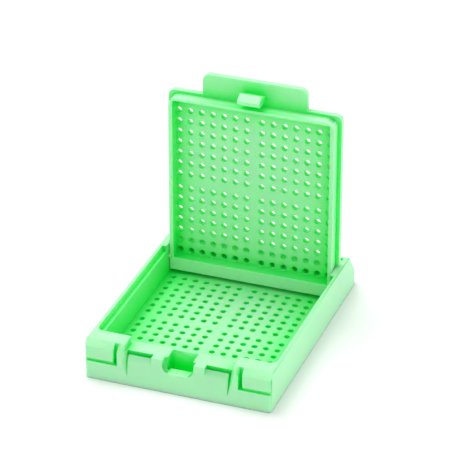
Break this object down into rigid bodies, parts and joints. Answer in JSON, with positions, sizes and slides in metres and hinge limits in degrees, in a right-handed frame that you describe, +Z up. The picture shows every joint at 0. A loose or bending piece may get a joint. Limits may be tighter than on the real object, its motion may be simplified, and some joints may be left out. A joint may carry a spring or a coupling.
{
  "type": "tissue cassette",
  "caption": "Flat rectangular tray with a perforated floor, a sloping writing face and a hinged perforated lid that latches at the front.",
  "frame": {"origin": "middle of the tray's footprint, on the surface that it stands on", "axes": "+Z up, +Y from the latch at the front to the writing face at the back, +X to the right"},
  "size_m": [0.0286, 0.04, 0.0349],
  "materials": {
    "acetal": "satin moulded acetal"
  },
  "bodies": {
    "base": {"base": "acetal"},
    "lid": {"lid": "acetal"}
  },
  "joints": [
    {"name": "lid_hinge", "type": "hinge", "parent": "base", "child": "lid", "pos_m": [0, 0.01125, 0.0039], "axis": [1, 0, 0], "range_deg": [-2, 90]}
  ]
}
